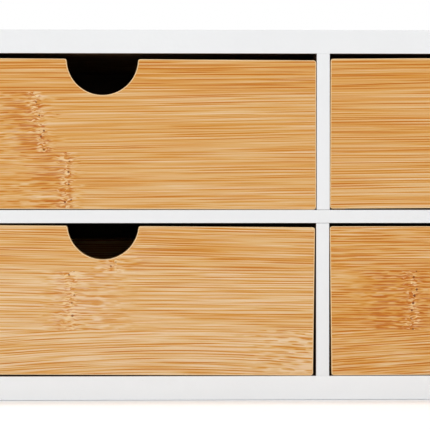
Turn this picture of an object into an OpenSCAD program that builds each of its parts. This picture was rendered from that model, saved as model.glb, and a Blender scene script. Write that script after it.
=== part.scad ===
// Desktop mini drawers: a white two-by-two case of thin boards with four
// bamboo drawers, each with a half-round finger notch in its front.
// Frame: X to the right, Y from the front edge to the back, Z up. The origin is
// the centre of the footprint, on the surface that the foot pads stand on.

/* [Case] */
// Clear width of one upper drawer bay
bay_w = 160; // [120:1:220]
// Clear height of the two upper bays
upper_bay_h = 58.1; // [50:0.1:90]
// Clear height of the two lower bays
lower_bay_h = 56.9; // [50:0.1:90]
// Depth of the case, from its front edge to its back
case_d = 200; // [140:1:300]
// Thickness of the top board and the two side boards
shell_t = 8.8; // [8:0.1:15]
// Thickness of the bottom board
base_t = 8.8; // [8:0.1:15]
// Thickness of the shelf between the two rows
shelf_t = 4.85; // [4:0.05:9]
// Thickness of the upright dividers
divider_t = 4.8; // [4:0.1:9]
// Radius along the long outer edges of the case
shell_edge_r = 0.8; // [0.3:0.1:2]
// How far the shelf is let into each side board
housing_d = 3; // [1:0.5:4]
// How far the lower divider stands to the left of the upper one
divider_step = 0.2; // [0:0.1:1.5]

/* [Back panel] */
// Thickness of the back panel
back_panel_t = 3; // [2:0.5:5]
// Width of the rebate that holds the back panel
rebate_w = 5; // [4:0.5:6]
// Play between the back panel's edges and its rebate
back_panel_play = 0.3; // [0.1:0.1:1]

/* [Feet] */
// Diameter of a foot pad
foot_d = 12; // [8:1:20]
// Thickness of a foot pad
foot_t = 1.5; // [1:0.25:4]
// How far a foot pad stands out of its recess in the bottom board
foot_proud = 0.1; // [0.1:0.1:0.9]
// Radius around the edge that a foot pad stands on
foot_edge_r = 0.3; // [0.2:0.1:0.9]
// Play around a foot pad in its recess
foot_play = 0.2; // [0.05:0.05:0.5]
// Distance from a foot pad's centre to the edges of the case
foot_inset = 14; // [12:1:30]

/* [Drawer fronts] */
// Thickness of a drawer front
front_t = 8; // [7:0.5:12]
// Gap over a closed front beside the divider: upper left, upper right, lower left, lower right
top_gap = [2.52, 1.9, 1.62, 1.26]; // [0.1:0.01:4]
// Gap over a closed front at its outer end, in the same order
outer_top_gap = [1.7, 0.9, 0.5, 1.26]; // [0.1:0.01:4]
// Gap under a closed front beside the divider
foot_gap = [0.12, 0.45, 0.11, 0.15]; // [0.1:0.01:2]
// Gap under a closed front at its outer end
outer_foot_gap = [0.42, 1.4, 0.92, 0.8]; // [0.1:0.01:2]
// Gap between a closed front's top corner and the divider
divider_gap = [0.2, 0.34, 0.4, 0.23]; // [0.1:0.01:2]
// Gap between a closed front's foot and the divider
divider_foot_gap = [0.2, 0.12, 1.15, 0.9]; // [0.1:0.01:2]
// Gap between a closed front and the side board of the case
outer_gap = 0.95; // [0.1:0.05:3]
// How far the fronts stand back from the front edge of the case
front_recess = 0.5; // [0:0.1:3]
// Radius of a front's four corners
front_corner_r = 1; // [0.3:0.1:3]

/* [Finger notches] */
// Radius of a finger notch
notch_r = 13.25; // [10:0.05:20]
// Radius of the two corners at a notch's mouth
notch_mouth_r = 0.8; // [0.3:0.1:2]
// How far a notch's centre lies above its front's top edge: upper row, lower row
notch_rise = [-0.1, 0.8]; // [-0.5:0.1:2]
// How far a notch lies right of its front's middle: upper left, upper right, lower left, lower right
notch_shift = [0, 0, 0.4, 0]; // [-2:0.05:2]

/* [Drawer boxes] */
// Thickness of the side and back boards
side_t = 5; // [4:0.5:7]
// How far the side boards' tops lie below the shelf or the top board
side_drop = 7.5; // [4:0.5:30]
// How far the back board's top lies below the side boards'
back_drop = 2; // [0:0.5:10]
// Radius along the top edges of the side and back boards
rim_r = 1.2; // [0.3:0.1:1.9]
// Gap between a side board and the wall beside it, in the narrowest bay
side_gap = 1; // [0.3:0.1:3]
// Thickness of the drawer bottom
bottom_t = 3; // [2:0.5:4]
// Height of the drawer bottom above the runners
bottom_lift = 4; // [3:0.5:8]
// Depth of the grooves that hold the drawer bottom
groove_d = 2; // [1:0.5:2.5]
// Play above and below the drawer bottom in its grooves
groove_play = 0.05; // [0.02:0.01:0.2]
// Depth of the rebates in the front that hold the side boards
lap_d = 5; // [3:0.5:5]
// Gap between a closed drawer and the back panel
rear_gap = 0.5; // [0.3:0.1:5]

/* [Dowels, pins and nails] */
// Diameter of the dowels in the corners of the case
dowel_d = 5; // [3:0.5:6]
// Length of a dowel
dowel_l = 18; // [14:1:24]
// How deep a dowel sits in the top or bottom board
dowel_sink = 6; // [4:0.5:7]
// Chamfer on the ends of a dowel
dowel_chamfer = 0.6; // [0.2:0.1:1]
// Glue space past each end of a dowel
dowel_end_room = 0.5; // [0.2:0.1:0.5]
// Distance from the front and back edges to the outer dowels
dowel_inset = 24; // [12:1:50]
// Diameter of the pins in the dividers
pin_d = 1.6; // [1:0.1:2]
// How deep a pin runs into a divider
pin_bite = 12; // [8:1:18]
// How far a pin's end lies below the painted top and underside
pin_sink = 1; // [0.5:0.1:2]
// Distance from the front and back edges to the outer pins
pin_inset = 30; // [15:1:55]
// Diameter of the nails in the back panel and the drawers
nail_d = 1.2; // [0.8:0.1:1.6]
// Length of a nail
nail_l = 13; // [10:1:16]
// Diameter of a nail's head
nail_head_d = 2.4; // [1.8:0.1:3]
// Height of a nail's head
nail_head_t = 0.5; // [0.3:0.1:1]
// Number of nails along the top, the shelf and the bottom of the back panel
panel_nails = 4; // [2:1:8]
// Distance from the ends of the case to the first of these nails
panel_nail_inset = 45; // [30:1:55]
// Height of the lower nails in a drawer's corners
low_nail_z = 14; // [10:1:16]
// How far the upper nails in a drawer's corners lie below the side boards' tops
high_nail_drop = 12; // [6:1:14]
// Play around dowels, pins and nails
hole_play = 0.05; // [0.02:0.01:0.1]
// Glue line left in a joint between two boards
glue_gap = 0.1; // [0.05:0.05:0.3]

/* [Hidden] */
$fn = 96;
past = 1;                                // a cutter runs this far past the face it opens
bite = 0.002;                            // overlap of two lines that run into each other

BAMBOO = "#D8A061";
BOX_WOOD = "#DDB887";
STEEL = "#B8BCC0";

case_w = 2 * bay_w + divider_t + 2 * shell_t;
case_h = base_t + lower_bay_h + shelf_t + upper_bay_h + shell_t;
front_y = -case_d / 2;
rear_y = case_d / 2;
seat_y = rear_y - back_panel_t;          // the plane that the back panel lies on
case_z = foot_proud;                     // underside of the case
lower_z = case_z + base_t;               // floor of the lower bays
shelf_z = lower_z + lower_bay_h;         // underside of the shelf
upper_z = shelf_z + shelf_t;             // floor of the upper bays
lid_z = upper_z + upper_bay_h;           // underside of the top board
top_z = lid_z + shell_t;                 // top of the case
inner_x = case_w / 2 - shell_t;          // inner face of a side board
board_d = case_d - back_panel_t;         // depth of the shelf and the dividers

// The rebate for the back panel is cut this far around the bays
rebate_x = inner_x + rebate_w;
rebate_low = lower_z - rebate_w;
rebate_high = lid_z + rebate_w;

// Rows of dowels, pins and nails
dowel_x = case_w / 2 - shell_t / 2;
dowel_ys = [front_y + dowel_inset, 0, rear_y - dowel_inset];
dowel_zs = [lower_z - dowel_sink, lid_z + dowel_sink - dowel_l];
pin_ys = [front_y + pin_inset, 0, rear_y - pin_inset];
nail_row_w = case_w - 2 * panel_nail_inset;
panel_nail_xs = [for (i = [0:panel_nails - 1]) (i / (panel_nails - 1) - 0.5) * nail_row_w];
panel_nail_zs = [lower_z - rebate_w / 2, shelf_z + shelf_t / 2, lid_z + rebate_w / 2];
side_nail_x = inner_x + rebate_w / 2;
bay_mid_zs = [upper_z + upper_bay_h / 2, lower_z + lower_bay_h / 2];

// Sizes that all four drawers share
box_w = bay_w - divider_step - 2 * side_gap;
drawer_d = board_d - front_recess - rear_gap;
wall_y = drawer_d - side_t;              // inner face of the back board
lap_y = front_t - lap_d;                 // floor of the rebates in a front
side_y = lap_y + glue_gap;               // front end of a side board
groove_h = bottom_t + 2 * groove_play;
corner_nail_ys = [side_y + lap_d / 2, drawer_d - side_t / 2];

// Foot pads 0 to 3 are front left, front right, rear left, rear right
function foot_x(f) = (f % 2 == 0 ? -1 : 1) * (case_w / 2 - foot_inset);
function foot_y(f) = (f < 2 ? -1 : 1) * (case_d / 2 - foot_inset);

// Drawers 0 to 3 are upper left, upper right, lower left, lower right
function column(d) = d % 2;
function row(d) = floor(d / 2);
function bay_floor(d) = row(d) == 0 ? upper_z : lower_z;
function bay_h(d) = row(d) == 0 ? upper_bay_h : lower_bay_h;
function divider_x(row) = row == 0 ? 0 : -divider_step;
function wall_x(d) = (column(d) == 0 ? -1 : 1) * inner_x;
function divider_face(d) = divider_x(row(d)) + (column(d) == 0 ? -1 : 1) * divider_t / 2;
function drawer_x(d) = (wall_x(d) + divider_face(d)) / 2;
function half_bay(d) = abs(wall_x(d) - divider_face(d)) / 2;
function side_h(d) = bay_h(d) - side_drop;

// ------------------------------------------------------- dowels, pins, nails
// With play 0 these are the fixings, and with hole_play the holes for them.

// A dowel that stands up from the origin
module dowel(play) {
    r = dowel_d / 2 + play;
    tip_r = r - dowel_chamfer;
    if (play > 0)
        translate([0, 0, -dowel_end_room]) cylinder(r = r, h = dowel_l + 2 * dowel_end_room);
    else {
        cylinder(r1 = tip_r, r2 = r, h = dowel_chamfer);
        translate([0, 0, dowel_chamfer]) cylinder(r = r, h = dowel_l - 2 * dowel_chamfer);
        translate([0, 0, dowel_l - dowel_chamfer]) cylinder(r1 = r, r2 = tip_r, h = dowel_chamfer);
    }
}

module each_corner_dowel(play = 0) {
    for (x = [-dowel_x, dowel_x], y = dowel_ys, z = dowel_zs)
        translate([x, y, z]) dowel(play);
}

module pin(x, y, z0, z1, play) {
    translate([x, y, z0 - play]) cylinder(d = pin_d + 2 * play, h = z1 - z0 + 2 * play);
}

// Pins through the top board, the shelf and the bottom board into the dividers
module each_divider_pin(play = 0) {
    for (y = pin_ys) {
        pin(divider_x(0), y, lid_z - pin_bite, top_z - pin_sink, play);
        pin(-divider_step / 2, y, shelf_z - pin_bite, upper_z + pin_bite, play);
        pin(divider_x(1), y, case_z + pin_sink, lower_z + pin_bite, play);
    }
}

// A nail driven along +Z, with the top of its head at the origin
module nail(play) {
    lead = play > 0 ? past : 0;
    translate([0, 0, -lead]) cylinder(d = nail_head_d + 2 * play, h = nail_head_t + lead + play);
    cylinder(d = nail_d + 2 * play, h = nail_l + play);
}

// A nail driven forwards through the back panel
module panel_nail(x, z, play) {
    translate([x, rear_y, z]) rotate([90, 0, 0]) nail(play);
}

module each_panel_nail(play = 0) {
    for (x = panel_nail_xs, z = panel_nail_zs) panel_nail(x, z, play);
    for (row = [0, 1], x = [-side_nail_x, divider_x(row), side_nail_x])
        panel_nail(x, bay_mid_zs[row], play);
}

// --------------------------------------------------------------------- case

// Section of the top or bottom board, with its two outer corners rounded and downwards
module outer_board_section(t) {
    r = shell_edge_r;
    half = case_w / 2;
    translate([-half, r]) square([case_w, t - r]);
    translate([-half + r, 0]) square([case_w - 2 * r, t]);
    for (x = [-half + r, half - r]) translate([x, r]) circle(r = r);
}

module outer_board(t) {
    translate([0, rear_y, 0]) rotate([90, 0, 0]) linear_extrude(case_d) outer_board_section(t);
}

// The space of the back panel and its rebate
module panel_rebate() {
    translate([-rebate_x, seat_y, rebate_low])
        cube([2 * rebate_x, back_panel_t + past, rebate_high - rebate_low]);
}

module top_board() {
    color("white") difference() {
        translate([0, 0, top_z]) mirror([0, 0, 1]) outer_board(shell_t);
        panel_rebate();
        each_corner_dowel(hole_play);
        each_divider_pin(hole_play);
        each_panel_nail(hole_play);
    }
}

module bottom_board() {
    color("white") difference() {
        translate([0, 0, case_z]) outer_board(base_t);
        for (f = [0:3])
            translate([foot_x(f), foot_y(f), -past])
                cylinder(d = foot_d + 2 * foot_play, h = foot_t + past);
        panel_rebate();
        each_corner_dowel(hole_play);
        each_divider_pin(hole_play);
        each_panel_nail(hole_play);
    }
}

// A side board, drawn on the right and mirrored for the left, housed for the shelf
module side_board(left) {
    color("white") difference() {
        mirror([left, 0, 0]) difference() {
            translate([inner_x, front_y, lower_z]) cube([shell_t, case_d, lid_z - lower_z]);
            translate([inner_x - past, front_y - past, shelf_z])
                cube([housing_d + past, case_d + 2 * past, shelf_t]);
        }
        panel_rebate();
        each_corner_dowel(hole_play);
        each_panel_nail(hole_play);
    }
}

module shelf() {
    half = inner_x + housing_d - glue_gap;
    color("white") difference() {
        translate([-half, front_y, shelf_z]) cube([2 * half, board_d, shelf_t]);
        each_divider_pin(hole_play);
        each_panel_nail(hole_play);
    }
}

// Each divider touches its outer board, and its glue line shows at the shelf
module divider(row) {
    z = row == 0 ? upper_z + glue_gap : lower_z;
    h = (row == 0 ? upper_bay_h : lower_bay_h) - glue_gap;
    color("white") difference() {
        translate([divider_x(row) - divider_t / 2, front_y, z]) cube([divider_t, board_d, h]);
        each_divider_pin(hole_play);
        each_panel_nail(hole_play);
    }
}

module back_panel() {
    half = rebate_x - back_panel_play;
    z = rebate_low + back_panel_play;
    color("whitesmoke") difference() {
        translate([-half, seat_y, z])
            cube([2 * half, back_panel_t, rebate_high - back_panel_play - z]);
        each_panel_nail(hole_play);
    }
}

module corner_dowels() {
    color(BOX_WOOD) each_corner_dowel();
}

module divider_pins() {
    color(STEEL) each_divider_pin();
}

module back_panel_nails() {
    color(STEEL) each_panel_nail();
}

// A foot pad, let into the bottom board
module foot_pad(f) {
    flat_r = foot_d / 2 - foot_edge_r;
    color("dimgray") translate([foot_x(f), foot_y(f), 0]) rotate_extrude() {
        square([flat_r, foot_t]);
        translate([0, foot_edge_r]) square([foot_d / 2, foot_t - foot_edge_r]);
        intersection() {
            translate([flat_r, foot_edge_r]) circle(r = foot_edge_r);
            square([foot_d / 2, foot_t]);
        }
    }
}

// ------------------------------------------------------------------ drawers
// Each drawer is drawn centred on x = 0, with the face of its front at y = 0 and
// its runners at z = 0, and in_bay puts it in its place.

module in_bay(d) {
    translate([drawer_x(d), front_y + front_recess, bay_floor(d)]) children();
}

// A four-cornered outline with its corners rounded: a circle in each corner, and their hull
module rounded_outline(corners, r) {
    sides = [for (i = [0:3]) corners[(i + 1) % 4] - corners[i]];
    out = [for (s = sides) [s.y, -s.x] / norm(s)];
    // In from a corner, a circle's centre lies r from both sides that meet there
    centres = [for (i = [0:3]) corners[i]
        - r * (out[(i + 3) % 4] + out[i]) / (1 + out[(i + 3) % 4] * out[i])];
    for (c = centres) translate(c) circle(r = r);
    polygon([for (i = [0:3]) each [
        centres[i] + (r - bite) * out[(i + 3) % 4],
        centres[i] + (r - bite) * out[i]
    ]]);
}

// The four corners of a front on the left, drawn from its outer foot anticlockwise
function front_corners(d) = [
    [outer_gap - half_bay(d), outer_foot_gap[d]],
    [half_bay(d) - divider_foot_gap[d], foot_gap[d]],
    [half_bay(d) - divider_gap[d], bay_h(d) - top_gap[d]],
    [outer_gap - half_bay(d), bay_h(d) - outer_top_gap[d]]
];

// A half-round notch at x = 0 in a top edge at y = 0, its mouth corners rounded off
module notch_outline(rise) {
    r = notch_mouth_r;
    across = sqrt(pow(notch_r + r - bite, 2) - pow(r + rise, 2));
    inside = [across, rise - r] / 2;
    translate([0, rise]) circle(r = notch_r);
    for (s = [0, 1])
        mirror([s, 0, 0]) difference() {
            polygon([[0, inside.y], inside, [across, -r], [across, past], [0, past]]);
            translate([across, -r]) circle(r = r);
        }
}

// The board of a front, standing on the runners' plane
module front_board(d) {
    corners = front_corners(d);
    mid_top = (corners[2] + corners[3]) / 2;
    slope = atan((corners[2].y - corners[3].y) / (corners[2].x - corners[3].x));
    side = column(d) == 0 ? 1 : -1;
    translate([0, front_t, 0]) rotate([90, 0, 0]) linear_extrude(front_t) difference() {
        mirror([column(d), 0, 0]) rounded_outline(corners, front_corner_r);
        translate([side * mid_top.x + notch_shift[d], mid_top.y]) rotate(side * slope)
            notch_outline(notch_rise[row(d)]);
    }
}

// A front, rebated for the side boards and grooved for the bottom
module drawer_front(d) {
    lap_x = box_w / 2 - side_t - glue_gap;
    color(BAMBOO) in_bay(d) difference() {
        front_board(d);
        for (s = [0, 1])
            mirror([s, 0, 0]) translate([lap_x, lap_y, -past])
                cube([bay_w / 2, lap_d + past, bay_h(d) + 2 * past]);
        translate([-bay_w / 2, front_t - groove_d, bottom_lift - groove_play])
            cube([bay_w, groove_d + past, groove_h]);
        each_corner_nail(d, hole_play);
    }
}

// Two nails through the side boards at each corner of a drawer
module each_corner_nail(d, play = 0) {
    for (s = [0, 1], y = corner_nail_ys, z = [low_nail_z, side_h(d) - high_nail_drop])
        mirror([s, 0, 0]) translate([box_w / 2, y, z]) rotate([0, -90, 0]) nail(play);
}

// Section of a side or back board, with rounded top edges
module rim_section(h) {
    square([side_t, h - rim_r]);
    translate([rim_r, 0]) square([side_t - 2 * rim_r, h]);
    for (x = [rim_r, side_t - rim_r]) translate([x, h - rim_r]) circle(r = rim_r);
}

// A side board, drawn on the right and mirrored for the left: it slides on its lower edge
module drawer_side(d, left) {
    color(BOX_WOOD) in_bay(d) difference() {
        mirror([left, 0, 0]) translate([box_w / 2 - side_t, 0, 0]) difference() {
            translate([0, drawer_d, 0]) rotate([90, 0, 0])
                linear_extrude(drawer_d - side_y) rim_section(side_h(d));
            translate([-past, 0, bottom_lift - groove_play])
                cube([groove_d + past, wall_y + groove_d, groove_h]);
        }
        each_corner_nail(d, hole_play);
    }
}

module drawer_back(d) {
    w = box_w - 2 * (side_t + glue_gap);
    color(BOX_WOOD) in_bay(d) difference() {
        translate([-w / 2, wall_y, 0]) rotate([90, 0, 90])
            linear_extrude(w) rim_section(side_h(d) - back_drop);
        translate([-w / 2 - past, wall_y - past, bottom_lift - groove_play])
            cube([w + 2 * past, groove_d + past, groove_h]);
        each_corner_nail(d, hole_play);
    }
}

module drawer_bottom(d) {
    tongue = groove_d - glue_gap;
    w = box_w - 2 * side_t + 2 * tongue;
    y = front_t - tongue;
    color("tan") in_bay(d) translate([-w / 2, y, bottom_lift])
        cube([w, wall_y + tongue - y, bottom_t]);
}

module drawer_nails(d) {
    color(STEEL) in_bay(d) each_corner_nail(d);
}

// -------------------------------------------------------------------- nodes

CASE_NODES = [
    "top_board", "bottom_board", "left_side_board", "right_side_board", "back_panel",
    "shelf", "upper_divider", "lower_divider",
    "corner_dowels", "divider_pins", "back_panel_nails"
];
FEET = ["front_left_foot_pad", "front_right_foot_pad", "rear_left_foot_pad", "rear_right_foot_pad"];
DRAWERS = ["upper_left_drawer_", "upper_right_drawer_", "lower_left_drawer_", "lower_right_drawer_"];
DRAWER_PIECES = ["front", "left_side", "right_side", "back", "bottom", "nails"];

top_board();
bottom_board();
side_board(1);  // left_side_board
side_board(0);  // right_side_board
back_panel();
shelf();
divider(0);  // upper_divider
divider(1);  // lower_divider
corner_dowels();
divider_pins();
back_panel_nails();
for (f = [0:3])
    foot_pad(f);
for (d = [0:3]) {
    drawer_front(d);
    drawer_side(d, 1);
    drawer_side(d, 0);
    drawer_back(d);
    drawer_bottom(d);
    drawer_nails(d);
}
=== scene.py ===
# %% [markdown]
# # Desktop mini drawers in Blender
# A low white case holds four bamboo drawers in two rows, each with a half-round finger notch in its
# front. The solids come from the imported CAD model, which is the fixed frame of this lesson. Blender
# could model the boards again, but then two models would have to agree. Here every board stays as it
# was cut, and the lesson gives it soft edges, a finish and light.

# %% Load the frame
import math

import bpy
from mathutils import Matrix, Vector


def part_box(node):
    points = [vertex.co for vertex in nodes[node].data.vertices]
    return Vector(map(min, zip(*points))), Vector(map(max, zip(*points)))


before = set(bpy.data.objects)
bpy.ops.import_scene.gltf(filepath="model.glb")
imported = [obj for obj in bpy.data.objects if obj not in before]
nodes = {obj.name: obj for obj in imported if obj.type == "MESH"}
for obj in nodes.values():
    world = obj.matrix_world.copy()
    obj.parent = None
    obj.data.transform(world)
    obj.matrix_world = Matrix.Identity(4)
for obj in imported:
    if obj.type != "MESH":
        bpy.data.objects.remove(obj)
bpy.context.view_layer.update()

print("boards and fixings:", len(nodes))

# %% [markdown]
# ## The camera
# The photograph was taken straight from the front, level with the middle of the case, from about a
# metre away. Its top and bottom edges draw together slightly towards the right, which a camera does
# that stands a little to the left and turns towards the middle. A plain perspective camera with a
# long lens repeats both. An orthographic one would lose the glimpse under the top board.

# %% Place the camera
EYE = Vector((-0.0740, -1.1000, 0.0800))
LOOKS_AT = Vector((-0.04027, -0.1000, 0.06878))
SEEN_WIDTH = 0.1596
SENSOR = 36.0

camera = bpy.data.objects.new("camera", bpy.data.cameras.new("camera"))
bpy.context.scene.collection.objects.link(camera)
bpy.context.scene.camera = camera
sight = LOOKS_AT - EYE
camera.location = EYE
camera.rotation_euler = sight.to_track_quat("-Z", "Y").to_euler()
camera.data.sensor_width = SENSOR
camera.data.lens = SENSOR * sight.length / SEEN_WIDTH
print("lens in mm:", round(camera.data.lens, 1))

# %% [markdown]
# ## A helper for node trees
# The sky, the floor, the paint and the wood of this lesson are all node trees. They could be wired
# by hand in the shader editor, but a script can make them again at any time. Written out in full,
# the links would hide the idea, so a small class adds a node and joins its inputs in one line.

# %% Define the node helper
class Nodes:
    """A node tree, with short names for the nodes that this lesson uses."""

    COLOUR_UNDER, COLOUR_OVER, COLOUR_RESULT = 6, 7, 2

    def __init__(self, tree):
        self.tree = tree

    def join(self, socket, value):
        """Links value to the socket if it is another node's output, and otherwise writes it there."""
        if isinstance(value, bpy.types.NodeSocket):
            self.tree.links.new(value, socket)
        else:
            socket.default_value = value

    def add(self, kind, *values, **settings):
        """A new node with its settings, and with its first inputs joined to values."""
        node = self.tree.nodes.new("ShaderNode" + kind)
        for key, setting in settings.items():
            setattr(node, key, setting)
        for socket, value in zip(node.inputs, values):
            self.join(socket, value)
        return node

    def math(self, operation, *values):
        return self.add("Math", *values, operation=operation).outputs[0]

    def vector(self, operation, one, two):
        return self.add("VectorMath", one, two, operation=operation).outputs[0]

    def point(self, x, y, z):
        return self.add("CombineXYZ", x, y, z).outputs[0]

    def total(self, *values):
        result = values[0]
        for value in values[1:]:
            result = self.math("ADD", result, value)
        return result

    def mix(self, amount, under, over, how="MIX"):
        """The colour under with amount of the colour over on it."""
        node = self.add("Mix", amount, data_type="RGBA", blend_type=how)
        self.join(node.inputs[self.COLOUR_UNDER], under)
        self.join(node.inputs[self.COLOUR_OVER], over)
        return node.outputs[self.COLOUR_RESULT]


print("node helper ready")

# %% [markdown]
# ## The sky
# The photograph has almost no shadows, as in a room with pale walls all round. A picture of such a
# room could light the case too, but a plain dome that is brighter near the horizon than at its top
# is easier to steer, and it leaves no side dark. The backdrop shows as plain white only to rays that
# come straight from the camera, from a reflection or through glass, so it adds no light.

# %% Light the sky
WHITE = (1.0, 1.0, 1.0, 1.0)
DOME_TOP, DOME_RIM, DOME_FALL = 0.42, 1.50, 2.0


def seen_directly(shading):
    """1 for rays from the camera, a reflection or a refraction, and 0 for rays that carry light."""
    rays = shading.add("LightPath").outputs
    total = rays["Is Camera Ray"]
    for kind in ("Is Glossy Ray", "Is Transmission Ray"):
        total = shading.math("MAXIMUM", total, rays[kind])
    return total


world = bpy.data.worlds.new("white room")
bpy.context.scene.world = world
world.use_nodes = True
world.node_tree.nodes.clear()
sky = Nodes(world.node_tree)
up = sky.add("SeparateXYZ", sky.add("TexCoord").outputs["Generated"]).outputs["Z"]
lowness = sky.add("MapRange", up, 0.0, 1.0, 1.0, 0.0).outputs[0]
glow = sky.math("POWER", lowness, DOME_FALL)
strength = sky.math("MULTIPLY_ADD", glow, DOME_RIM - DOME_TOP, DOME_TOP)
lighting = sky.add("Background", WHITE, strength).outputs[0]
backdrop = sky.add("Background", WHITE, 1.0).outputs[0]
choice = sky.add("MixShader", seen_directly(sky), lighting, backdrop).outputs[0]
sky.add("OutputWorld", choice)
print("dome level from the horizon to the top:", DOME_RIM, DOME_TOP)

# %% [markdown]
# ## The lamps
# The photograph shows one thin shadow, on the floor along the foot of the case. The dome alone would
# leave none, and a single strong lamp would throw a hard one. So a wide soft sun stands almost
# overhead and a touch behind the fronts, and a broad panel beside the camera fills the fronts.

# %% Hang the lamps
SUN_LEVEL, SUN_TILT, SUN_SPREAD, SUN_DISTANCE = 0.36, 6.0, 12.0, 2.0
PANEL_LEVEL, PANEL_DISTANCE, PANEL_WIDTH, PANEL_HEIGHT = 0.27, 2.2, 1.8, 1.2
PANEL_PLACE = (-0.35, -PANEL_DISTANCE, 0.75)
PANEL_TARGET = (-0.03, -0.1, 0.07)


def lamp(name, kind, place, target, energy, **settings):
    """A lamp at place that points at target."""
    light = bpy.data.lights.new(name, kind)
    light.energy = energy
    for key, value in settings.items():
        setattr(light, key, value)
    holder = bpy.data.objects.new(name, light)
    bpy.context.scene.collection.objects.link(holder)
    holder.location = place
    aim = Vector(target) - Vector(place)
    holder.rotation_euler = aim.to_track_quat("-Z", "Y").to_euler()
    return holder


tilt = math.radians(SUN_TILT)
sun_place = (0, SUN_DISTANCE * math.sin(tilt), SUN_DISTANCE * math.cos(tilt))
sun = lamp("overhead sun", "SUN", sun_place, (0, 0, 0), SUN_LEVEL * math.pi,
           angle=math.radians(SUN_SPREAD))
panel_energy = PANEL_LEVEL * (math.pi * PANEL_DISTANCE) ** 2
panel = lamp("front panel", "AREA", PANEL_PLACE, PANEL_TARGET, panel_energy,
             shape="RECTANGLE", size=PANEL_WIDTH, size_y=PANEL_HEIGHT)
bpy.context.scene.view_settings.view_transform = "Standard"
print("lamps:", sun.name, "and", panel.name)

# %% [markdown]
# ## The floor
# The case stands on white paper. One value for its colour could not serve twice: paper that is white
# to the eye would flood the fronts with light from below. So rays that carry light meet a pale grey,
# and rays that reach the eye meet a colour just above white. That one is a touch blue, which takes
# out the warm light that the bamboo throws on the paper.

# %% Lay the floor
FLOOR_HALF = 6.0
FLOOR_SEEN, FLOOR_LIT = (1.05, 1.08, 1.11, 1), (0.60, 0.62, 0.64, 1)
CORNERS = [(-1, -1), (1, -1), (1, 1), (-1, 1)]

mesh = bpy.data.meshes.new("floor")
mesh.from_pydata([(FLOOR_HALF * x, FLOOR_HALF * y, 0) for x, y in CORNERS], [], [(0, 1, 2, 3)])
floor = bpy.data.objects.new("floor", mesh)
bpy.context.scene.collection.objects.link(floor)
paper = bpy.data.materials.new("floor_paper")
paper.use_nodes = True
paper.node_tree.nodes.clear()
sheet = Nodes(paper.node_tree)
matt = sheet.add("BsdfDiffuse", sheet.mix(seen_directly(sheet), FLOOR_LIT, FLOOR_SEEN))
sheet.add("OutputMaterial", matt.outputs[0])
mesh.materials.append(paper)
print("floor is", 2 * FLOOR_HALF, "m across")

# %% [markdown]
# ## Patterns in millimetres
# Wood and paint are drawn here by noise and not by pictures, so they stay sharp at any distance and
# need no unwrapping. Every pattern measures places in millimetres in the case's own frame, which
# keeps each grain line at its real size. Soft noise seldom leaves the middle of its range, so
# `spread` stretches that middle to the two values that a finish moves between.

# %% Define the patterns
MILLIMETRES = (1000, 1000, 1000)
NOISE_LOW, NOISE_HIGH = 0.3, 0.7


class Patterns(Nodes):
    """A node tree that knows its spot, x, y and z in millimetres."""

    def __init__(self, tree):
        super().__init__(tree)
        self.spot = self.vector("MULTIPLY", self.add("TexCoord").outputs["Object"], MILLIMETRES)
        self.x, self.y, self.z = self.add("SeparateXYZ", self.spot).outputs

    def noise(self, where, scale=1.0, detail=0.0, rough=0.5):
        """Soft noise from 0 to 1 at where, in cells of 1/scale."""
        node = self.add("TexNoise")
        self.join(node.inputs["Vector"], where)
        node.inputs["Scale"].default_value = scale
        node.inputs["Detail"].default_value = detail
        node.inputs["Roughness"].default_value = rough
        return node.outputs["Fac"]

    def stretched(self, scales, detail, rough=0.5):
        """Noise whose cells are 1/scale mm along each of the three axes."""
        return self.noise(self.vector("MULTIPLY", self.spot, scales), detail=detail, rough=rough)

    def step(self, value, low, high, start=0.0, end=1.0):
        """Goes smoothly from start to end as value goes from low to high."""
        node = self.add("MapRange", value, low, high, start, end, interpolation_type="SMOOTHSTEP")
        return node.outputs[0]

    def spread(self, noise, start=0.0, end=1.0):
        """Noise as a value from start to end."""
        return self.step(noise, NOISE_LOW, NOISE_HIGH, start, end)


print("noise is spread from", NOISE_LOW, "to", NOISE_HIGH)

# %% [markdown]
# ## Finishes
# A finish is one material: a colour, a roughness and a fine relief that a pattern moves together, as
# they move together in real wood and paint. Each could be set for every board alone, but boards of
# one kind were finished alike, so a finish is made once and given to all of them.

# %% Define the finishes
def linear(red, green, blue):
    """A screen colour from 0 to 255 as the linear light values that nodes take."""
    return tuple(((c / 255 + 0.055) / 1.055) ** 2.4 for c in (red, green, blue)) + (1.0,)


def scaled(colour, factor):
    """A linear colour at factor times its light."""
    return tuple(factor * c for c in colour[:3]) + (1.0,)


class Finish(Patterns):
    """One material, with short names for what its patterns drive."""

    def __init__(self, name):
        self.material = bpy.data.materials.new(name)
        self.material.use_nodes = True
        super().__init__(self.material.node_tree)

    def ramp(self, value, stops):
        """A colour for value, from stops of (place, colour)."""
        node = self.add("ValToRGB", value)
        marks = node.color_ramp.elements
        while len(marks) < len(stops):
            marks.new(0.5)
        for mark, (place, colour) in zip(marks, stops):
            mark.position = place
            mark.color = colour
        return node.outputs[0]

    def between(self, noise, dark, pale):
        """A colour that follows noise from dark to pale."""
        return self.ramp(noise, [(NOISE_LOW, dark), (NOISE_HIGH, pale)])

    def bump(self, height, depth):
        """A surface relief of depth metres."""
        node = self.add("Bump")
        node.inputs["Distance"].default_value = depth
        self.join(node.inputs["Height"], height)
        return node.outputs[0]

    def done(self, **sockets):
        """Joins the shader's sockets and returns the material."""
        shader = self.tree.nodes["Principled BSDF"]
        for key, value in sockets.items():
            self.join(shader.inputs[key.replace("_", " ")], value)
        return self.material


def dress(board, *finishes):
    """Gives a board its finishes in place of the ones that it came with."""
    board.data.materials.clear()
    for finish in finishes:
        board.data.materials.append(finish)


print("nodes take a screen's middle grey as", round(linear(128, 128, 128)[0], 3))

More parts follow.
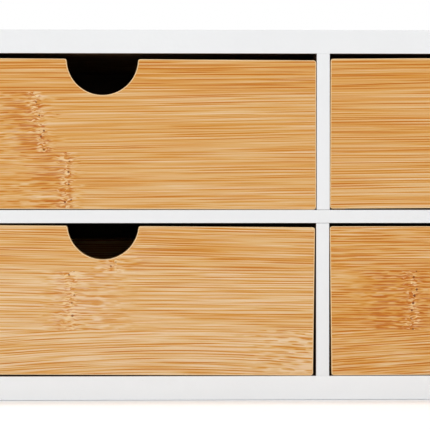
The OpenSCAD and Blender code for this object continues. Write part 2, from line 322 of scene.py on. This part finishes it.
# %% [markdown]
# ## Bare board and painted shade inside the case
# The photograph looks past the notches and under the top board into the dark. The faces inside the
# case are therefore left as dark raw brown board, from just behind the front edges. That brown is
# partly the colour of the board and partly painted shade for the dark inside the case. Two materials
# could do that, but the boards arrive as whole pieces, so the finish itself asks whether a spot is
# inside.
# The limits are read off the loaded boards and lie a hair inside them, so that their faces count.

# %% Find the inner faces
def span(name, axis):
    """Where a loaded piece starts and ends along x, y or z, in millimetres."""
    return [round(1000 * getattr(corner, axis), 2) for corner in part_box(name)]


INNER_SIDE, _ = span("right_side_board", "x")
_, INNER_FLOOR = span("bottom_board", "z")
INNER_LID, _ = span("top_board", "z")
FRONT_FACE, _ = span("top_board", "y")
SIDE_HAIR, LEVEL_HAIR = 0.1, 0.05
RAW_AND_SHADE_DARK, RAW_AND_SHADE_PALE = linear(84, 58, 40), linear(108, 76, 53)
RAW_AND_SHADE_BEGINS, RAW_AND_SHADE_FULL = 0.3, 3.0
WEAVE_SCALE, WEAVE_DETAIL, WEAVE_ROUGH = 1.6, 3, 0.65


def inner_face(finish):
    """1 on the faces that look into the case, from just behind its front edges, and 0 outside."""
    within = finish.math("LESS_THAN", finish.math("ABSOLUTE", finish.x), INNER_SIDE + SIDE_HAIR)
    above = finish.math("GREATER_THAN", finish.z, INNER_FLOOR - LEVEL_HAIR)
    below = finish.math("LESS_THAN", finish.z, INNER_LID + LEVEL_HAIR)
    within = finish.math("MULTIPLY", finish.math("MULTIPLY", within, above), below)
    behind = finish.step(finish.y, FRONT_FACE + RAW_AND_SHADE_BEGINS, FRONT_FACE + RAW_AND_SHADE_FULL)
    return finish.math("MULTIPLY", within, behind)


def board_weave(finish):
    """The fine matted weave of hardboard."""
    return finish.noise(finish.spot, WEAVE_SCALE, WEAVE_DETAIL, WEAVE_ROUGH)


def raw_board_and_shade(finish):
    """The dark brown of unpainted board, partly board colour and partly painted shade."""
    return finish.mix(finish.spread(board_weave(finish)), RAW_AND_SHADE_DARK, RAW_AND_SHADE_PALE)


print("inner faces in mm:", INNER_SIDE, "to each side, from", INNER_FLOOR, "up to", INNER_LID)

# %% [markdown]
# ## White paint
# The case is of smooth board, sprayed with a satin white. From close by the paint has a faint orange
# peel, the gloss wanders a little, and the white is not quite the same everywhere. A flat white would
# look like plastic, so four layers of noise move the colour, the roughness and the relief. The bottom
# board gets less light than the others, but the photograph shows it as white as they are, so its
# white is slightly brighter.

# %% Mix the white paint
PAINTED = ("top_board", "left_side_board", "right_side_board",
           "shelf", "upper_divider", "lower_divider")
CLOUD_SCALE, SPECK_SCALE, PEEL_SCALE, GLOSS_SCALE = 0.02, 0.9, 0.55, 0.12
CLOUD_LIGHT, SPECK_INK, SPECK = 0.982, 0.35, linear(214, 213, 210)
PAINT_ROUGHNESS, PEEL_DEPTH = (0.36, 0.5), 0.00006


def white_paint(name, colour):
    """A satin white that turns to dark raw board inside the case, partly painted shade."""
    paint = Finish(name)
    clouds = paint.noise(paint.spot, CLOUD_SCALE, detail=3)
    specks = paint.noise(paint.spot, SPECK_SCALE, detail=2)
    peel = paint.noise(paint.spot, PEEL_SCALE, detail=2, rough=0.6)
    gloss = paint.noise(paint.spot, GLOSS_SCALE, detail=3)
    shade = paint.mix(paint.spread(clouds), scaled(colour, CLOUD_LIGHT), colour)
    shade = paint.mix(paint.step(specks, low=0.72, high=0.8, end=SPECK_INK), shade, SPECK)
    # painted shade: the faces inside the case turn dark raw brown, partly board colour and partly shade
    # painted in
    shade = paint.mix(inner_face(paint), shade, raw_board_and_shade(paint))
    return paint.done(Base_Color=shade, Roughness=paint.spread(gloss, *PAINT_ROUGHNESS),
                      Normal=paint.bump(peel, PEEL_DEPTH), Specular_IOR_Level=0.35)


case_paint = white_paint("white_paint", linear(240, 240, 240))
for name in PAINTED:
    dress(nodes[name], case_paint)
# painted light: the bottom board's white is brighter to make up for the light it lacks
dress(nodes["bottom_board"], white_paint("white_paint_low_brightened", linear(246, 246, 246)))
print("painted boards:", len(PAINTED) + 1)

# %% [markdown]
# ## Bamboo board
# A bamboo board is glued up from strips of split cane, each about 22 mm wide. Each strip could be a
# material of its own, but the board is one piece with one face. So the finish asks at every spot
# which strip it is in, and each strip reads the noise at a place of its own. No grain line then runs
# on across a seam, and one description of a strip serves for the whole board.

# %% Describe a glued-up board
STRIP_JUMP = 7.3


class Board(Finish):
    """A board of bamboo strips that run along x or y, split at the seam heights."""

    def __init__(self, name, seams, strips, seed, along):
        super().__init__(name)
        self.length, self.depth = {"x": (self.x, self.y), "y": (self.y, self.x)}[along]
        self.height = self.z
        self.seams, self.strips = seams, strips
        self.own = self.each([seed + STRIP_JUMP * i for i in range(len(strips))])
        self.bent, self.inside = self.height, self.own

    def each(self, values):
        """One of values for each strip, from the lowest."""
        result = float(values[0])
        for seam, below, above in zip(self.seams, values, values[1:]):
            over = self.math("GREATER_THAN", self.height, seam)
            result = self.math("MULTIPLY_ADD", over, above - below, result)
        return result

    def fact(self, key):
        """What the strips say under key."""
        return self.each([strip[key] for strip in self.strips])

    def cells(self, reach, spacing, shift, place, height, detail):
        """Noise in cells of reach by spacing mm, at a place of its own in each strip."""
        along = self.math("DIVIDE", self.length, reach)
        across = self.math("DIVIDE", height, spacing)
        return self.noise(self.point(along, self.math("ADD", place, shift), across), detail=detail)

    def patches(self, reach, spacing, shift, detail=0.0):
        """Cells that lie straight."""
        return self.cells(reach, spacing, shift, self.own, self.height, detail)

    def grain(self, reach, spacing, shift, detail=0.0):
        """Cells that bend with the wood."""
        return self.cells(reach, spacing, shift, self.inside, self.bent, detail)

    def around(self, value, amplitude):
        """Noise from 0 to 1 as a swing of amplitude either way."""
        return self.math("MULTIPLY_ADD", value, 2.0 * amplitude, -amplitude)

    def blend(self, one, two, amount):
        """one where amount is 0, and two where it is 1."""
        return self.math("MULTIPLY_ADD", self.math("SUBTRACT", two, one), amount, one)

    def zone(self, value, start, full, fade, end):
        """1 between full and fade, and 0 outside start and end."""
        return self.math("MULTIPLY", self.step(value, start, full), self.step(value, end, fade))


print("a board knows its strips, patches and grain")

# %% [markdown]
# ## Cane joints
# Every foot or so the cane had a joint, like a knuckle, and it leaves a ragged line across its strip.
# The line could be drawn straight, but split cane never shows it so. The distance to the line is
# therefore shaken by noise, once coarsely, for where the fibres are broken up, and once finely, for
# what lies right at the joint.

# %% Find the joints
FRAY, RAGGED = 6.0, 2.5


def find_joint(wood):
    """Measures how far a spot is from its strip's joint, and marks where the fibres are broken."""
    joint = wood.math("MULTIPLY_ADD", wood.fact("lean"), wood.height, wood.fact("joint"))
    wood.from_joint = wood.math("SUBTRACT", wood.length, joint)
    fray = wood.around(wood.patches(reach=14.0, spacing=1.3, shift=3.0), FRAY)
    loose = wood.math("ADD", wood.from_joint, fray)
    to_left = wood.math("DIVIDE", loose, wood.fact("left"))
    to_right = wood.math("DIVIDE", loose, wood.fact("right"))
    left = wood.zone(to_left, start=-1.3, full=-0.6, fade=0.0, end=0.3)
    right = wood.zone(to_right, start=-0.2, full=0.1, fade=0.5, end=1.2)
    wood.broken = wood.math("MAXIMUM", left, right)
    ragged = wood.around(wood.patches(reach=6.0, spacing=1.6, shift=2.0), RAGGED)
    wood.away = wood.math("ADD", wood.from_joint, ragged)


print("a joint's line is ragged by", RAGGED, "mm either way")

# %% [markdown]
# ## Bent fibres
# Close to a joint the fibres wave. The waving could be drawn as a layer of its own, but then it would
# cross straight fibres. Instead the place at which grain and fibres are read is bent, which moves
# them together, as in real wood. Each strip also has a slope, and one has a bow, because split cane
# is never quite straight.

# %% Bend the fibres
DRIFT, RIPPLE, CURL = 0.5, 0.30, 0.5
SIDE_JUMP, DEPTH_SHARE = 3.7, 0.8


def bend(wood):
    """Lays the fibres along each strip's slope and bow, and bends them close to its joint."""
    along = wood.math("SUBTRACT", wood.length, wood.fact("middle"))
    rise = wood.math("SUBTRACT", wood.math("MULTIPLY", along, wood.fact("bow")), wood.fact("slope"))
    lie = wood.math("MULTIPLY", along, rise)
    drift = wood.around(wood.patches(reach=90.0, spacing=14.0, shift=4.0, detail=1), DRIFT)
    ripple = wood.around(wood.patches(reach=8.0, spacing=1.8, shift=6.0), RIPPLE)
    ripple = wood.math("MULTIPLY", ripple, wood.broken)
    near = wood.zone(wood.away, start=-7.0, full=-2.5, fade=1.5, end=5.0)
    curl = wood.around(wood.patches(reach=2.6, spacing=0.9, shift=8.0), CURL)
    curl = wood.math("MULTIPLY", curl, near)
    wood.bent = wood.total(wood.height, lie, drift, ripple, curl)
    side = wood.math("MULTIPLY", wood.math("GREATER_THAN", wood.away, 0.0), SIDE_JUMP)
    wood.inside = wood.total(wood.math("MULTIPLY", wood.depth, DEPTH_SHARE), wood.own, side)


print("fibres curl by", CURL, "mm either way at a joint")

# %% [markdown]
# ## Single fibres
# The straw ground of bamboo is full of fine dark fibres, each about a third of a millimetre thick and
# a few centimetres long. Stretched noise would be quick, but it draws soft bands. So the fibres are
# drawn one by one: the board is divided into narrow lanes, and each lane holds one fibre, which comes
# and goes along its length and sways a little from side to side.

# %% Draw single fibres
LANE_JUMP = 3.71
SWAY_REACH, SWAY = 70.0, 1.3


def threads(wood, pitch, reach, thick, shift, low, high):
    """Fibres, one to each lane of pitch mm, that come and go along about reach mm."""
    across = wood.math("DIVIDE", wood.math("ADD", wood.bent, shift), pitch)
    lane = wood.math("MULTIPLY_ADD", wood.math("FLOOR", across), LANE_JUMP, shift)
    here = wood.noise(wood.point(wood.math("DIVIDE", wood.length, reach), lane, wood.inside))
    sway = wood.noise(wood.point(wood.math("DIVIDE", wood.length, SWAY_REACH), wood.inside, lane))
    off = wood.math("SUBTRACT", wood.math("FRACT", across), wood.blend(0.5, sway, SWAY))
    off = wood.math("MULTIPLY", wood.math("ABSOLUTE", off), pitch)
    return wood.math("MULTIPLY", wood.step(off, thick, 0.0), wood.step(here, low, high))


print("a fibre sways over", SWAY_REACH, "mm")

# %% [markdown]
# ## The tone of the wood
# The tone is the sum of the strip's ground, soft layers of grain and three kinds of single fibres:
# dark, faint and pale. One layer could be stretched to stand for all of them, but real bamboo mixes
# long fibres with short ones, and beside a joint only short ones are left. So the fine grain and the
# dark fibres go over from a long layer to a short one where the wood is broken up.

# %% Grow the fibres
GROUND = 0.64
FINE, STREAK, BAND, MOTTLE = 0.28, 0.05, 0.09, 0.22
DARK, FAINT, PALE = 0.60, 0.30, 0.24


def dark_fibres(wood, run):
    """Long dark fibres, and short ones where the wood is broken up."""
    long = threads(wood, pitch=0.96, reach=40.0 * run, thick=0.34, shift=41.0, low=0.30, high=0.60)
    short = threads(wood, pitch=0.95, reach=4.6, thick=0.36, shift=47.0, low=0.36, high=0.58)
    return wood.blend(long, short, wood.broken)


def grow(wood, run):
    """How pale each spot is, from 0 to 1. The fibres are run times as long as usual."""
    long_fine = wood.grain(reach=36 * run, spacing=0.38, shift=0.0)
    short_fine = wood.grain(reach=4.5, spacing=0.40, shift=5.0)
    wood.fine = wood.blend(long_fine, short_fine, wood.broken)
    wood.streak = wood.grain(reach=75, spacing=1.3, shift=11.0)
    band = wood.grain(reach=170, spacing=5.0, shift=23.0, detail=1)
    mottle = wood.around(wood.grain(reach=7, spacing=1.2, shift=29.0), MOTTLE)
    wood.dark = dark_fibres(wood, run)
    faint = threads(wood, pitch=0.73, reach=22.0 * run, thick=0.28, shift=53.0, low=0.38, high=0.62)
    pale = threads(wood, pitch=0.92, reach=26.0 * run, thick=0.28, shift=59.0, low=0.42, high=0.65)
    fibres = wood.math("MULTIPLY_ADD", wood.dark, -DARK, wood.math("MULTIPLY", faint, -FAINT))
    return wood.total(
        wood.around(wood.fine, FINE),
        wood.around(wood.streak, STREAK),
        wood.around(band, BAND),
        wood.math("MULTIPLY", mottle, wood.broken),
        wood.math("MULTIPLY", fibres, wood.fact("ink")),
        wood.math("MULTIPLY", pale, PALE),
        wood.each([GROUND + strip["tone"] for strip in wood.strips]))


print("ground tone:", GROUND)

# %% [markdown]
# ## Rust and flecks
# Beside a joint, some fibres turn into short rusty dashes, and right at it lie small rusty and cream
# flecks. A dark patch would do from far off, but from close by the dashes are what tells bamboo from
# other wood. They are single fibres again, only shorter, thicker and in a colour of their own.

# %% Redden the joints
RUST, CREAM = linear(187, 97, 22), linear(240, 205, 153)
RUSTY_INK, CREAM_INK = 0.7, 0.85
LEFT_FULL, RIGHT_FULL = 0.35, 0.2


def beside_joint(wood, to_left, to_right):
    """1 close to the joint, fading to 0 to_left mm to its left and to_right mm to its right."""
    return wood.zone(wood.away, start=-to_left, full=-LEFT_FULL * to_left,
                     fade=RIGHT_FULL * to_right, end=to_right)


def redden(wood, shade, beside, redness, rust):
    """Rusty dashes beside the joint, and rusty and cream flecks right at it."""
    dashes = threads(wood, pitch=1.05, reach=8.0, thick=0.42, shift=67.0, low=0.40, high=0.55)
    dashes = wood.math("MULTIPLY", dashes, beside)
    shade = wood.mix(wood.math("MULTIPLY", dashes, redness), shade, rust)
    close = wood.zone(wood.away, start=-4.5, full=-1.5, fade=0.8, end=3.2)
    flecks = wood.grain(reach=1.9, spacing=0.36, shift=71.0)
    rusty = wood.step(flecks, low=0.40, high=0.32, end=RUSTY_INK)
    creamy = wood.step(flecks, low=0.56, high=0.66, end=CREAM_INK)
    shade = wood.mix(wood.math("MULTIPLY", rusty, close), shade, rust)
    return wood.mix(wood.math("MULTIPLY", creamy, close), shade, CREAM)


print("rust is full within", LEFT_FULL, "of its reach to the left")

# %% [markdown]
# ## Pores
# Along the joint runs a column of small dark pores, where vessels crossed the cane. They could be
# drilled into the mesh, but they are shallow and only about half a millimetre wide. So they are
# drawn: a row of uneven cells along the joint gives each pore its own height, a random colour of each
# cell moves it off the line, and another makes it larger or smaller.

# %% Open the pores
PORE = linear(118, 54, 2)
PORE_SCATTER, PORE_GROWTH = 2.8, 0.24
PORE_OUTER, PORE_INNER = 0.33, 0.12


def pierce(wood, shade, gap, ink):
    """A column of pores along the joint, about gap mm apart."""
    row = wood.add("TexVoronoi", voronoi_dimensions="1D")
    wood.join(row.inputs["W"], wood.total(wood.math("DIVIDE", wood.height, gap), wood.own))
    row.inputs["Scale"].default_value = 1.0
    chance = wood.add("SeparateColor", row.outputs["Color"]).outputs
    middle = wood.math("SUBTRACT", wood.from_joint, PORE_SCATTER / 2)
    across = wood.math("MULTIPLY_ADD", chance["Red"], PORE_SCATTER, middle)
    up = wood.math("MULTIPLY", row.outputs["Distance"], gap)
    squares = wood.math("ADD", wood.math("MULTIPLY", across, across), wood.math("MULTIPLY", up, up))
    growth = wood.math("MULTIPLY", chance["Green"], PORE_GROWTH)
    reach = wood.math("SUBTRACT", wood.math("SQRT", squares), growth)
    pore = wood.step(reach, PORE_OUTER, PORE_INNER)
    return wood.mix(wood.math("MULTIPLY", pore, ink), shade, PORE)


print("pores are scattered over", PORE_SCATTER, "mm")

# %% [markdown]
# ## The bamboo finish
# The tone now becomes a colour. A plain mix of a dark and a pale straw would turn grey between them,
# so five stops keep the middle tones warm. Here and there a faint blush lies over the straw. The
# gloss follows the streaks, and the dark fibres lie a few hundredths of a millimetre lower than the
# wood around them. `JOINT` holds what a joint usually looks like: how red its dashes are, how far
# they reach to its left and right in millimetres, how much paler the wood is there (or darker, below
# zero), the colour of the rust, and the gap between the pores and their ink.

# %% Mix the bamboo finish
STRAW = [
    (0.00, linear(193, 106, 10)),
    (0.25, linear(208, 137, 43)),
    (0.50, linear(219, 160, 82)),
    (0.75, linear(226, 181, 121)),
    (1.00, linear(236, 203, 162)),
]
BLUSH, BLUSH_INK = linear(252, 242, 236), 0.55
BAMBOO_ROUGHNESS, FIBRE_DEPTH = (0.42, 0.56), 0.00003
JOINT = dict(redness=0.8, red_left=16.0, red_right=2.5, haze=-0.06, rust=RUST,
             pore_gap=4.4, pore_ink=0.95)


def bamboo(name, seams, strips, seed, along="x", straw=STRAW, run=1.0, joint=JOINT):
    """The finish of one board, whose strips change at the seams."""
    wood = Board(name, seams, strips, seed, along)
    find_joint(wood)
    bend(wood)
    tone = grow(wood, run)
    beside = beside_joint(wood, joint["red_left"], joint["red_right"])
    tone = wood.math("ADD", tone, wood.math("MULTIPLY", beside, joint["haze"]))
    shade = wood.ramp(tone, straw)
    blush = wood.grain(reach=26, spacing=0.9, shift=73.0)
    blush = wood.step(blush, low=0.45, high=0.70, end=BLUSH_INK)
    shade = wood.mix(blush, shade, wood.mix(1.0, shade, BLUSH, "MULTIPLY"))
    shade = redden(wood, shade, beside, joint["redness"], joint["rust"])
    shade = pierce(wood, shade, joint["pore_gap"], joint["pore_ink"])
    relief = wood.math("SUBTRACT", wood.fine, wood.dark)
    return wood.done(Base_Color=shade, Roughness=wood.spread(wood.streak, *BAMBOO_ROUGHNESS),
                     Normal=wood.bump(relief, FIBRE_DEPTH), Specular_IOR_Level=0.22)


print("straw stops:", len(STRAW))

# %% [markdown]
# ## The upper fronts
# No two fronts are alike, because each was sawn from another stretch of board. One finish with four
# seeds would give them all one character, so each strip is described from the photograph, the
# lowest strip first. Its tone says how pale it is, and its ink how dark its fibres are. The fibres
# have a slope and a bow, counted from a middle. The joint has a place and a lean, and the fibres are
# broken up for some way to its left and right. A strip that shows no joint has it off the board.
# Places along a board are in millimetres from the middle of the case, and the seams lie at their
# heights above the shelf. The upper fronts are calm: their fibres run long and level.

# %% Describe the upper fronts
OFF_THE_BOARD = 400.0
STRIP = dict(tone=0.0, ink=1.0, slope=0.0, bow=0.0, middle=0.0,
             joint=OFF_THE_BOARD, lean=0.0, left=5.0, right=5.0)
_, SHELF_TOP = span("shelf", "z")
UPPER_SEAMS = (SHELF_TOP + 21.5, SHELF_TOP + 43.8)
UPPER_FRONTS = {
    "upper_left": dict(
        seams=UPPER_SEAMS,
        seed=3.1,
        strips=(
            dict(STRIP, tone=0.05, ink=0.85, slope=0.005, middle=-60.0, joint=-95.0, left=24.0),
            dict(STRIP, tone=0.04, ink=0.78, slope=0.016, middle=-60.0,
                 joint=-88.2, lean=-0.165, left=20.0),
            dict(STRIP, tone=-0.07, slope=0.003, middle=-60.0, joint=-151.0, left=6.0, right=6.0))),
    "upper_right": dict(
        seams=UPPER_SEAMS,
        seed=31.7,
        run=1.6,
        strips=(
            dict(STRIP, tone=0.06, slope=0.012, middle=30.0, joint=121.0, left=6.0, right=6.0),
            dict(STRIP, slope=0.008, middle=30.0, joint=58.0, left=8.0, right=8.0),
            dict(STRIP, tone=-0.06, slope=0.018, middle=30.0, joint=99.0))),
}
print("upper fronts:", len(UPPER_FRONTS), "with seams at", [round(seam, 2) for seam in UPPER_SEAMS], "mm")

# %% [markdown]
# ## The lower fronts
# The lower left front is the palest. Its joint has amber dashes to its right, and the fibres of its
# lowest strip bow. The lower right front is the liveliest: short fibres, a slope, and a joint with
# much rust to its left and pores close together. Both could share the upper fronts' joints, but then
# the four would look like prints of one board. Their seams are measured up from the bottom board.

# %% Describe the lower fronts
AMBER = linear(202, 118, 34)
LOWER_SEAMS = (INNER_FLOOR + 17.15, INNER_FLOOR + 39.05)
LOWER_FRONTS = {
    "lower_left": dict(
        seams=LOWER_SEAMS,
        seed=52.9,
        run=0.8,
        joint=dict(JOINT, redness=0.6, red_left=9.0, red_right=26.0, haze=0.07, rust=AMBER,
                   pore_ink=0.75),
        strips=(
            dict(STRIP, tone=0.25, ink=1.1, bow=0.0006, middle=-58.0, joint=4.0, left=31.0),
            dict(STRIP, tone=0.20, ink=0.95, slope=-0.010, middle=-60.0,
                 joint=-93.6, left=10.0, right=24.0),
            dict(STRIP, tone=0.10, slope=-0.020, middle=-60.0, joint=-78.0, right=8.0))),
    "lower_right": dict(
        seams=LOWER_SEAMS,
        seed=77.3,
        run=0.42,
        joint=dict(JOINT, redness=1.0, red_left=24.0, red_right=10.0, haze=-0.05, pore_gap=3.3),
        strips=(
            dict(STRIP, tone=0.05, ink=1.05, slope=0.055, middle=30.0,
                 joint=104.0, left=6.0, right=6.0),
            dict(STRIP, tone=-0.01, ink=1.1, middle=30.0, joint=33.6, left=21.0, right=12.0),
            dict(STRIP, tone=0.01, ink=1.2, slope=0.010, middle=30.0,
                 joint=131.0, left=6.0, right=6.0))),
}
print("lower fronts:", len(LOWER_FRONTS), "with seams at", [round(seam, 2) for seam in LOWER_SEAMS], "mm")

# %% [markdown]
# ## The pale edges
# The photograph shows a thin pale line along the edges of the fronts, on all sides alike. Each front
# gets a second, paler finish for it, which the rounding of its edges will use later on: a painted
# highlight along the rounds.

# %% Finish the fronts
EDGE_DARK, EDGE_PALE = linear(240, 198, 142), linear(250, 218, 170)
EDGE_SCALES, EDGE_ROUGHNESS = (0.06, 1.5, 1.5), (0.5, 0.65)

# painted highlight: a paler finish for the rounded edges of the fronts
edge = Finish("bamboo_edge_highlight")
fuzz = edge.stretched(EDGE_SCALES, detail=2)
edge_highlight = edge.done(Base_Color=edge.between(fuzz, EDGE_DARK, EDGE_PALE),
                        Roughness=edge.spread(fuzz, *EDGE_ROUGHNESS), Specular_IOR_Level=0.2)
FRONTS = {**UPPER_FRONTS, **LOWER_FRONTS}
for name, facts in FRONTS.items():
    dress(nodes[name + "_drawer_front"], bamboo("bamboo_" + name, **facts), edge_highlight)
print("bamboo fronts:", len(FRONTS))

# %% [markdown]
# ## Drawer boxes
# The boxes behind the fronts are sawn from the same bamboo board. A calmer finish would do for
# boards that seldom show, but an open drawer shows them from close by, so they take the same one,
# with the strips along each board, counted up from the bottom edge of its box. The straw is a little
# lighter, as on wood that has seen no sun.

# %% Finish the boxes
BOX_LIGHT, BOX_STRIP_WIDTH, BOX_TONES = 1.06, 21, (0.05, 0.0, 0.03)
BOX_STRAW = [(place, scaled(colour, BOX_LIGHT)) for place, colour in STRAW]
BOX_PARTS = (("left_side", "y", 99.0), ("right_side", "y", 100.0), ("back", "x", 94.0))
SEED_STEP, SIDE_JOINT = 11, 30.0

for i, name in enumerate(FRONTS):
    low_edge, _ = span(f"{name}_drawer_back", "z")
    seams = (low_edge + BOX_STRIP_WIDTH, low_edge + 2 * BOX_STRIP_WIDTH)
    for part, along, seed in BOX_PARTS:
        strips = [dict(STRIP, tone=tone) for tone in BOX_TONES]
        if along == "y":
            place = SIDE_JOINT if i % 2 == 0 else -SIDE_JOINT
            strips[1].update(joint=place, left=8.0, right=6.0)
        dress(nodes[f"{name}_drawer_{part}"],
              bamboo(f"bamboo_{name}_{part}", seams, strips, seed + SEED_STEP * i, along, BOX_STRAW))
print("box boards:", len(FRONTS) * len(BOX_PARTS))

# %% [markdown]
# ## Drawer bottoms
# The bottoms are thin bamboo ply, whose sliced face has a broader and calmer figure than sawn board.
# The board finish could be slowed down for it, but two layers of stretched noise, one fine and one
# broad, give the sliced look with far fewer nodes.

# %% Finish the drawer bottoms
PLY_DARK, PLY_PALE = linear(202, 160, 104), linear(229, 196, 146)
PLY_FINE, PLY_BROAD = (1.1, 0.02, 0.3), (0.12, 0.006, 0.3)
PLY_SHARE, PLY_ROUGHNESS, PLY_DEPTH = 0.5, (0.5, 0.62), 0.00003

ply = Finish("bamboo_ply")
slices = ply.stretched(PLY_FINE, detail=3)
broad = ply.stretched(PLY_BROAD, detail=2)
figure = ply.math("MULTIPLY_ADD", broad, PLY_SHARE, ply.math("MULTIPLY", slices, PLY_SHARE))
bamboo_ply = ply.done(Base_Color=ply.between(figure, PLY_DARK, PLY_PALE),
                      Roughness=ply.spread(slices, *PLY_ROUGHNESS),
                      Normal=ply.bump(slices, PLY_DEPTH), Specular_IOR_Level=0.2)
for name in FRONTS:
    dress(nodes[name + "_drawer_bottom"], bamboo_ply)
print("drawer bottoms:", len(FRONTS))

# %% [markdown]
# ## Back panel
# The back is thin hardboard, painted white outside and dark brown inside. The dark inner face is
# partly the raw board and partly painted shade, which is why the finger notches look into the dark.
# Like the case's boards it arrives as one piece, so the finish asks how far behind the panel's inner
# face a spot is.

# %% Finish the back panel
PANEL_DARK, PANEL_PALE = linear(233, 232, 228), linear(237, 236, 232)
INSIDE_DARK, INSIDE_PALE = linear(74, 50, 34), linear(98, 68, 47)
RAW_AND_SHADE_SKIN, PANEL_CLOUD_SCALE = 0.5, 0.03
PANEL_ROUGHNESS, WEAVE_DEPTH = (0.5, 0.65), 0.00008

panel_face, _ = span("back_panel", "y")
hardboard = Finish("back_panel_board")
weave = board_weave(hardboard)
cloud = hardboard.noise(hardboard.spot, PANEL_CLOUD_SCALE, detail=2)
painted = hardboard.mix(hardboard.spread(cloud), PANEL_DARK, PANEL_PALE)
# painted shade: the panel's inner face is dark raw brown, partly board colour and partly shade painted in
raw_and_shade = hardboard.mix(hardboard.spread(weave), INSIDE_DARK, INSIDE_PALE)
within = hardboard.math("LESS_THAN", hardboard.y, panel_face + RAW_AND_SHADE_SKIN)
dress(nodes["back_panel"], hardboard.done(
    Base_Color=hardboard.mix(within, painted, raw_and_shade),
    Roughness=hardboard.spread(weave, *PANEL_ROUGHNESS),
    Normal=hardboard.bump(weave, WEAVE_DEPTH), Specular_IOR_Level=0.3))
print("back panel's inner face in mm:", panel_face)

# %% [markdown]
# ## Pads and fixings
# The pads are dark rubber, the dowels and pins are beech, and the nails are plain steel wire. None of
# them shows from the front, and one grey for all would pass there. But the part may be turned round
# or taken apart, so each gets its own finish, whose colour, gloss and relief follow one noise.

# %% Finish the small parts
def small_finish(name, scales, colours, gloss, depth, rough=0.5, **sockets):
    """A finish whose colour, gloss and relief all follow one noise."""
    finish = Finish(name)
    pattern = finish.stretched(scales, detail=3, rough=rough)
    return finish.done(Base_Color=finish.between(pattern, *colours),
                       Roughness=finish.spread(pattern, *gloss),
                       Normal=finish.bump(pattern, depth), **sockets)


rubber = small_finish("pad_rubber", scales=(3.0, 3.0, 3.0), rough=0.7,
                      colours=(linear(58, 58, 61), linear(72, 72, 75)),
                      gloss=(0.55, 0.75), depth=0.00005)
beech = small_finish("dowel_wood", scales=(1.2, 1.2, 0.15),
                     colours=(linear(200, 166, 122), linear(222, 192, 150)),
                     gloss=(0.55, 0.7), depth=0.00004)
steel = small_finish("nail_steel", scales=(4.0, 4.0, 0.6),
                     colours=(linear(176, 176, 178), linear(206, 206, 208)),
                     gloss=(0.26, 0.42), depth=0.00002, Metallic=1.0)
SMALL_PARTS = {"foot_pad": rubber, "dowels": beech, "pins": beech, "nails": steel}
for name, piece in nodes.items():
    for ending, finish in SMALL_PARTS.items():
        if name.endswith(ending):
            dress(piece, finish)
print("finishes for small parts:", len(set(SMALL_PARTS.values())))

# %% [markdown]
# ## Soft edges
# No sawn board has a perfectly sharp edge: sanding leaves a tiny round that catches the light. The
# round could be cut into the mesh, but a bevel modifier does it without touching the board. The flat
# faces arrive as triangles, so they are first welded and dissolved into whole faces. The fronts are
# rounded most, and their rounds take the paler edge finish, which is a painted highlight.

# %% Round the edges
WELD_REACH, FLAT_ANGLE, SHARP_ANGLE = 0.000001, 0.5, 35
FRONT_ROUND, BOX_ROUND, CASE_ROUND, DIVIDER_ROUND = 0.35, 0.25, 0.12, 0.08
SAME_FINISH, SECOND_FINISH = -1, 1


def soften(board, width, segments=2, finish=SAME_FINISH):
    """Rounds every sharp edge of a board by width mm."""
    weld = board.modifiers.new("weld", "WELD")
    weld.merge_threshold = WELD_REACH
    whole = board.modifiers.new("whole faces", "DECIMATE")
    whole.decimate_type = "DISSOLVE"
    whole.angle_limit = math.radians(FLAT_ANGLE)
    rounding = board.modifiers.new("sanded edge", "BEVEL")
    rounding.width = width / 1000
    rounding.segments = segments
    rounding.limit_method = "ANGLE"
    rounding.angle_limit = math.radians(SHARP_ANGLE)
    rounding.use_clamp_overlap = False
    rounding.loop_slide = False
    rounding.material = finish
    board.modifiers.new("even shading", "WEIGHTED_NORMAL")


for name, board in nodes.items():
    if name.endswith("_front"):
        # the rounds of the fronts take the second finish, a painted highlight
        soften(board, FRONT_ROUND, 3, SECOND_FINISH)
    elif name.endswith(("_side", "_back", "_bottom", "_panel")):
        soften(board, BOX_ROUND)
    elif name.endswith("_board") or name == "shelf":
        soften(board, CASE_ROUND)
    elif name.endswith("_divider"):
        soften(board, DIVIDER_ROUND)
print("softened boards:", sum(1 for board in nodes.values() if board.modifiers))
